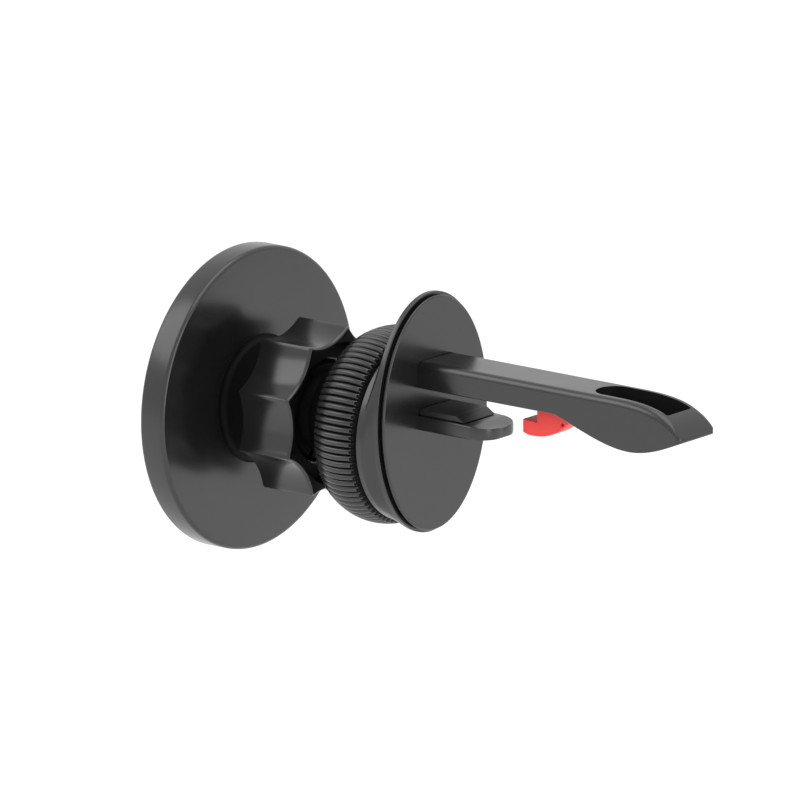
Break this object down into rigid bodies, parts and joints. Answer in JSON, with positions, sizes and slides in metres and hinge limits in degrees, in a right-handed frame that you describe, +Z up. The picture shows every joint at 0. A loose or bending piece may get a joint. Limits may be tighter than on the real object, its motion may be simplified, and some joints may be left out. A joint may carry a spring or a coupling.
{
  "type": "car phone mount",
  "caption": "Magnetic car phone mount with a round head on a ball joint, a star lock nut, a knurled ring and a hook arm that clips to an air vent.",
  "frame": {"origin": "on the knurled ring's axis, at the front face of the oval plate that rests on the air vent", "axes": "+X along the ring's axis into the vent, +Z up; the round head faces -X"},
  "size_m": [0.106, 0.056, 0.056],
  "materials": {
    "black_plastic": "satin moulded ABS",
    "ring_plastic": "satin moulded, knurled",
    "soft_pad": "matt silicone",
    "cover_plastic": "satin",
    "claw_red": "semi-gloss moulded",
    "pom_white": "acetal, smooth",
    "screw_steel": "zinc plated",
    "iron": "nickel plated sheet",
    "magnet": "nickel plated",
    "tape": "foam tape"
  },
  "bodies": {
    "clip": {"base_plate": "black_plastic", "tongue_pad": "soft_pad", "rear_cap": "black_plastic", "cap_screws": "screw_steel", "ball_stud": "black_plastic", "ball_screw": "screw_steel", "thrust_washer": "pom_white"},
    "ring": {"knurled_ring": "ring_plastic", "drive_nut": "pom_white"},
    "arm": {"hook_arm": "black_plastic", "thread_shoe": "pom_white", "shoe_screws": "screw_steel", "hook_claw": "claw_red", "claw_pin": "screw_steel"},
    "cup": {"friction_cup": "pom_white"},
    "seat": {"friction_ring": "pom_white"},
    "head": {"head_shell": "black_plastic", "ball_socket": "black_plastic", "socket_screws": "screw_steel", "magnet_carrier": "cover_plastic", "back_iron": "iron", "ring_magnets": "magnet", "head_cover": "cover_plastic", "pad_tape": "tape", "face_pad": "soft_pad"},
    "wedge": {"compression_ring": "pom_white"},
    "nut": {"star_nut": "black_plastic"}
  },
  "joints": [
    {"name": "ring_turn", "type": "hinge", "parent": "clip", "child": "ring", "pos_m": [-0.0106, 0, 0], "axis": [1, 0, 0], "range_deg": [-300, 300]},
    {"name": "arm_slide", "type": "slide", "parent": "clip", "child": "arm", "axis": [1, 0, 0], "range_m": [-0.0025, 0.0025]},
    {"name": "ball_yaw", "type": "hinge", "parent": "clip", "child": "cup", "pos_m": [-0.0295, 0, 0], "axis": [0, 0, 1], "range_deg": [-11, 11]},
    {"name": "ball_pitch", "type": "hinge", "parent": "cup", "child": "seat", "pos_m": [-0.0295, 0, 0], "axis": [0, 1, 0], "range_deg": [-11, 11]},
    {"name": "head_spin", "type": "hinge", "parent": "seat", "child": "head", "pos_m": [-0.0295, 0, 0], "axis": [1, 0, 0], "continuous": true},
    {"name": "nut_turn", "type": "hinge", "parent": "wedge", "child": "nut", "pos_m": [-0.0279, 0, 0], "axis": [1, 0, 0], "range_deg": [0, 90]},
    {"name": "nut_feed", "type": "slide", "parent": "head", "child": "wedge", "axis": [1, 0, 0], "range_m": [0, 0.0004]}
  ],
  "couplings": [
    {"joint": "arm_slide", "follows": "ring_turn", "m_per_rad": 0.00047746},
    {"joint": "nut_feed", "follows": "nut_turn", "m_per_rad": 0.00025465}
  ]
}
